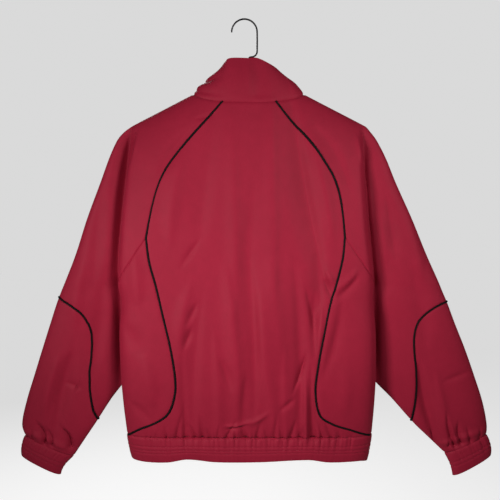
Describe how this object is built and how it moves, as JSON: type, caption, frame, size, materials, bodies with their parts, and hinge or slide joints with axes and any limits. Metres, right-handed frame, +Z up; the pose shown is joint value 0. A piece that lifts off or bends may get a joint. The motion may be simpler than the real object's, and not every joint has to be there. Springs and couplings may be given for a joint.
{
  "type": "track jacket on a wire hanger",
  "caption": "Crimson zip-up track jacket with raglan sleeves, dark piping, stand collar and elasticated hem and cuffs, hanging on a plain wire hanger.",
  "frame": {"origin": "bearing point inside the top of the hanger's hook, where the rail touches it", "axes": "+Z up; -Y is the way the jacket's back faces and +Y the way its zip faces; +X is to the right seen from behind, the wearer's right"},
  "size_m": [0.8942, 0.0852, 0.8485],
  "materials": {
    "jacket_cloth": "plain-woven polyester, matt with a faint sheen",
    "piping": "satin cord piping",
    "zip_tape": "woven tape with moulded teeth",
    "zip_metal": "gunmetal",
    "hanger_wire": "dark lacquered steel wire, glossy"
  },
  "bodies": {
    "jacket": {"back_panel": "jacket_cloth", "side_panel_l": "jacket_cloth", "side_panel_r": "jacket_cloth", "front_l": "jacket_cloth", "front_r": "jacket_cloth", "sleeve_l": "jacket_cloth", "sleeve_r": "jacket_cloth", "forearm_l": "jacket_cloth", "forearm_r": "jacket_cloth", "collar": "jacket_cloth", "hem_band": "jacket_cloth", "cuff_l": "jacket_cloth", "cuff_r": "jacket_cloth", "piping_back_l": "piping", "piping_back_r": "piping", "piping_elbow_l": "piping", "piping_elbow_r": "piping", "zip_tape": "zip_tape", "zip_slider": "zip_metal", "hanger": "hanger_wire"},
    "pull": {"zip_pull": "zip_metal"}
  },
  "joints": [
    {"name": "pull_swing", "type": "hinge", "parent": "jacket", "child": "pull", "pos_m": [0.0075, 0.04394, -0.15432], "axis": [1, 0, 0], "range_deg": [-6, 165]}
  ]
}
